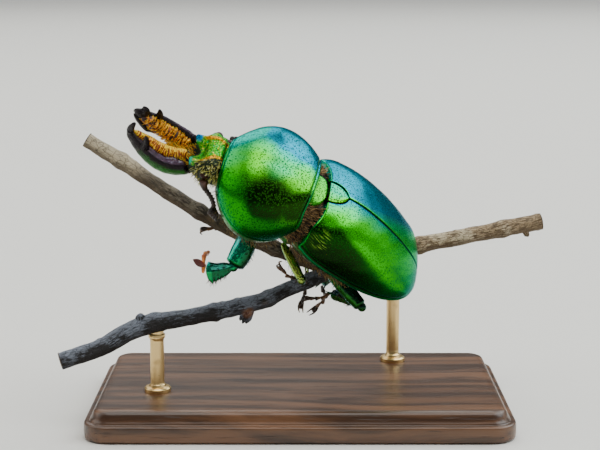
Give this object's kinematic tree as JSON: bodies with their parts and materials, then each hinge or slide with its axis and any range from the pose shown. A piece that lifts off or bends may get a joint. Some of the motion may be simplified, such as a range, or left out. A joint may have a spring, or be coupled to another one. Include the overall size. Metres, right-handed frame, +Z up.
{
  "type": "golden stag beetle",
  "caption": "Life-size still model of a metallic green male stag beetle with long brush-lined jaws, gripping a forked twig on a moulded wooden stand.",
  "frame": {"origin": "middle of the underside of the wooden base", "axes": "+Z up; +X along the base to the right as seen from the front, towards the beetle's tail; -Y towards the viewer who sees the beetle's back and left side"},
  "size_m": [0.0431, 0.021, 0.0274],
  "materials": {
    "green": "metallic green shell, blue-green towards its edges, finely punctured",
    "head_green": "metallic green and orange-gold, coarsely punctured",
    "teal": "metallic blue-green shell",
    "underside": "bronze-green shell with short hair",
    "jaw": "black-green horn, wrinkled, glossy",
    "bristle": "dense orange-gold bristles",
    "horn": "dark brown horn",
    "spur": "dark red horn",
    "eye": "dark brown, glossy, finely faceted",
    "bark": "grey-brown bark, paler and smoother on the stem",
    "wood": "stained and waxed wood",
    "brass": "satin brass"
  },
  "bodies": {
    "root": {"abdomen": "underside", "antenna_left_club": "horn", "antenna_left_funicle": "horn", "antenna_left_scape": "horn", "antenna_right_club": "horn", "antenna_right_funicle": "horn", "antenna_right_scape": "horn", "elytron_left": "green", "elytron_right": "green", "eye_left": "eye", "eye_right": "eye", "head": "head_green", "leg_fore_left_coxa": "underside", "leg_fore_left_femur": "teal", "leg_fore_left_spur": "spur", "leg_fore_left_tarsus": "horn", "leg_fore_left_tibia": "teal", "leg_fore_right_coxa": "underside", "leg_fore_right_femur": "teal", "leg_fore_right_spur": "spur", "leg_fore_right_tarsus": "horn", "leg_fore_right_tibia": "teal", "leg_hind_left_coxa": "underside", "leg_hind_left_femur": "teal", "leg_hind_left_tarsus": "horn", "leg_hind_left_tibia": "teal", "leg_hind_right_coxa": "underside", "leg_hind_right_femur": "teal", "leg_hind_right_tarsus": "horn", "leg_hind_right_tibia": "teal", "leg_middle_left_coxa": "underside", "leg_middle_left_femur": "teal", "leg_middle_left_tarsus": "horn", "leg_middle_left_tibia": "teal", "leg_middle_right_coxa": "underside", "leg_middle_right_femur": "teal", "leg_middle_right_tarsus": "horn", "leg_middle_right_tibia": "teal", "mandible_left": "jaw", "mandible_left_brush": "bristle", "mandible_right": "jaw", "mandible_right_brush": "bristle", "mesothorax": "green", "metathorax": "underside", "palp_left": "horn", "palp_right": "horn", "perch_lower_arm": "bark", "perch_stem": "bark", "perch_upper_arm": "bark", "pronotum": "green", "prosternum": "underside", "scutellum": "green", "stand_base": "wood", "stand_rod_left": "brass", "stand_rod_right": "brass"}
  },
  "joints": []
}
